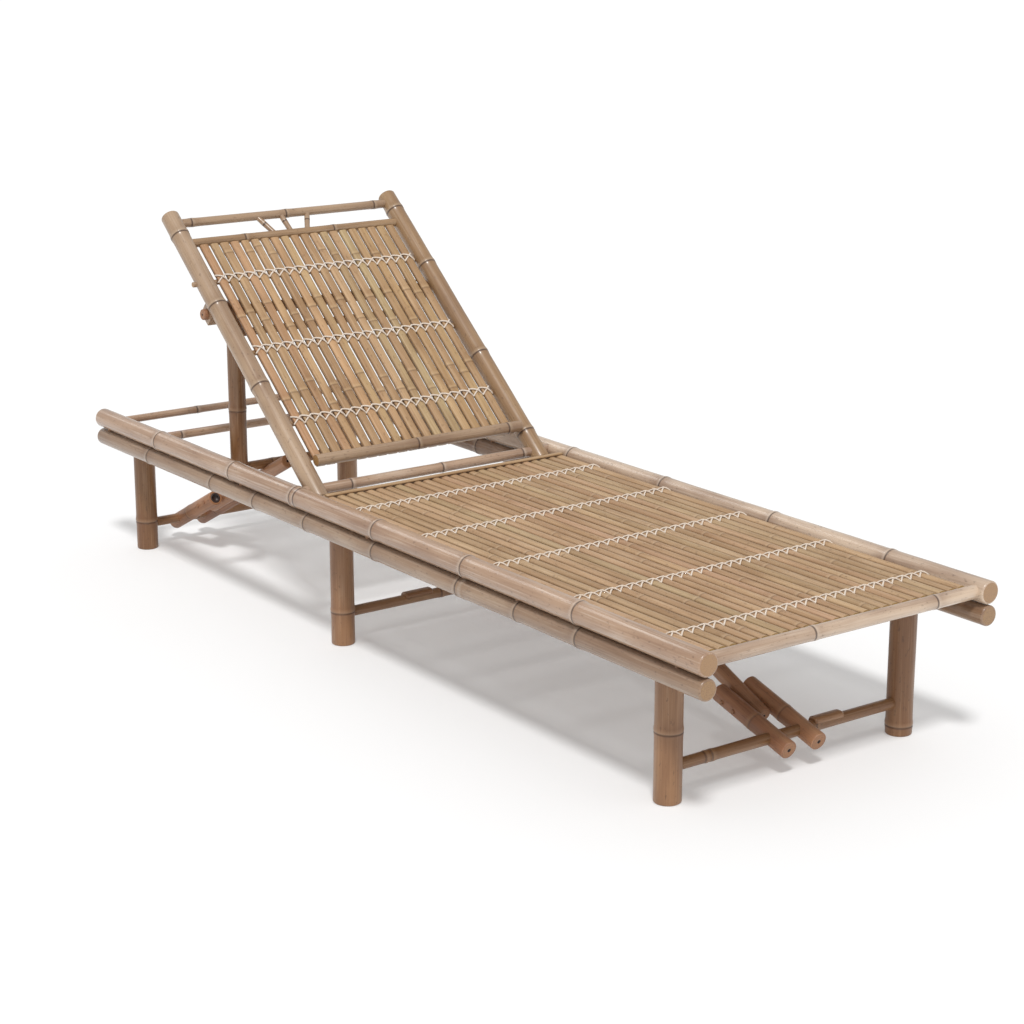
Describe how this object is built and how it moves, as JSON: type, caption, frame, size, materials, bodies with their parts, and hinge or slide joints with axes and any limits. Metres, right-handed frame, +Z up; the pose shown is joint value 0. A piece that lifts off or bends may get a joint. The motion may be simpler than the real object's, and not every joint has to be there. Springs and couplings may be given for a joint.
{
  "type": "sun lounger",
  "caption": "Long bamboo sun lounger: slatted seat between stacked side rails on folding leg frames, with a reclining slatted backrest held up by a prop.",
  "frame": {"origin": "on the floor, under the middle of the lounger's length and width", "axes": "+X across, +Y from the foot end to the head end, +Z up"},
  "size_m": [0.6499, 2, 0.756],
  "materials": {
    "rail_pole": "pinkish tan bamboo pole, satin varnish",
    "back_pole": "yellow tan bamboo pole, satin varnish",
    "leg_pole": "brown bamboo pole, satin varnish",
    "dark_pole": "dark brown bamboo pole, satin",
    "split_cane": "split bamboo cane, satin",
    "cord": "off-white twisted cord"
  },
  "bodies": {
    "base": {"foot_bar": "rail_pole", "foot_brace_bar": "rail_pole", "foot_leg_axle": "dark_pole", "head_bar_1": "rail_pole", "head_bar_2": "rail_pole", "head_leg_axle": "dark_pole", "hinge_pole": "rail_pole", "lower_rail_left": "rail_pole", "lower_rail_right": "rail_pole", "middle_brace_bar": "rail_pole", "middle_leg_axle": "dark_pole", "prop_bar": "leg_pole", "rail_dowels": "dark_pole", "rear_strip": "split_cane", "seat_bar_1": "rail_pole", "seat_bar_2": "rail_pole", "seat_bar_3": "rail_pole", "seat_bar_4": "rail_pole", "seat_bar_5": "rail_pole", "seat_lashings": "cord", "seat_slats": "split_cane", "top_rail_left": "rail_pole", "top_rail_right": "rail_pole"},
    "backrest": {"axle_blocks": "back_pole", "back_bar_1": "back_pole", "back_bar_2": "back_pole", "back_bar_3": "back_pole", "back_bottom_bar": "back_pole", "back_lashings": "cord", "back_rail_left": "back_pole", "back_rail_right": "back_pole", "back_second_bar": "back_pole", "back_slats": "split_cane", "back_sticks": "split_cane", "back_top_bar": "back_pole"},
    "prop": {"prop_axle": "dark_pole", "prop_pegs": "dark_pole", "prop_spreader": "leg_pole", "prop_strut_left": "leg_pole", "prop_strut_right": "leg_pole"},
    "foot_legs": {"foot_keeper": "leg_pole", "foot_leg_left": "leg_pole", "foot_leg_right": "leg_pole", "foot_stretcher": "leg_pole"},
    "foot_brace": {"foot_arm": "dark_pole", "foot_brace_pegs": "dark_pole", "foot_fork": "dark_pole"},
    "middle_legs": {"middle_keeper": "leg_pole", "middle_leg_left": "leg_pole", "middle_leg_right": "leg_pole", "middle_stretcher": "leg_pole"},
    "middle_brace": {"middle_arm": "dark_pole", "middle_brace_pegs": "dark_pole", "middle_fork": "dark_pole"},
    "head_legs": {"head_leg_left": "leg_pole", "head_leg_right": "leg_pole", "head_stretcher": "leg_pole"},
    "head_brace": {"head_arm": "dark_pole", "head_brace_pegs": "dark_pole", "head_fork": "dark_pole"}
  },
  "joints": [
    {"name": "backrest_recline", "type": "hinge", "parent": "base", "child": "backrest", "pos_m": [0, 0.192, 0.285], "axis": [1, 0, 0], "range_deg": [-37.8, 13.7]},
    {"name": "prop_swing", "type": "hinge", "parent": "backrest", "child": "prop", "pos_m": [0, 0.5758, 0.56658], "axis": [1, 0, 0], "range_deg": [-49.5, 18]},
    {"name": "foot_leg_fold", "type": "hinge", "parent": "base", "child": "foot_legs", "pos_m": [0, -0.854, 0.239], "axis": [1, 0, 0], "range_deg": [0, 85]},
    {"name": "foot_brace_swing", "type": "hinge", "parent": "foot_legs", "child": "foot_brace", "pos_m": [0, -0.854, 0.058], "axis": [1, 0, 0], "range_deg": [-112, 0]},
    {"name": "middle_leg_fold", "type": "hinge", "parent": "base", "child": "middle_legs", "pos_m": [0, 0.109, 0.239], "axis": [-1, 0, 0], "range_deg": [0, 85]},
    {"name": "middle_brace_swing", "type": "hinge", "parent": "middle_legs", "child": "middle_brace", "pos_m": [0, 0.109, 0.06], "axis": [-1, 0, 0], "range_deg": [-114, 0]},
    {"name": "head_leg_fold", "type": "hinge", "parent": "base", "child": "head_legs", "pos_m": [0, 0.909, 0.239], "axis": [-1, 0, 0], "range_deg": [0, 85]},
    {"name": "head_brace_swing", "type": "hinge", "parent": "head_legs", "child": "head_brace", "pos_m": [0, 0.909, 0.054], "axis": [-1, 0, 0], "range_deg": [-124, 0]}
  ],
  "couplings": [
    {"joint": "prop_swing", "follows": "backrest_recline", "ratio": 1.3},
    {"joint": "foot_brace_swing", "follows": "foot_leg_fold", "ratio": -1.31},
    {"joint": "middle_brace_swing", "follows": "middle_leg_fold", "ratio": -1.335},
    {"joint": "head_brace_swing", "follows": "head_leg_fold", "ratio": -1.45}
  ]
}
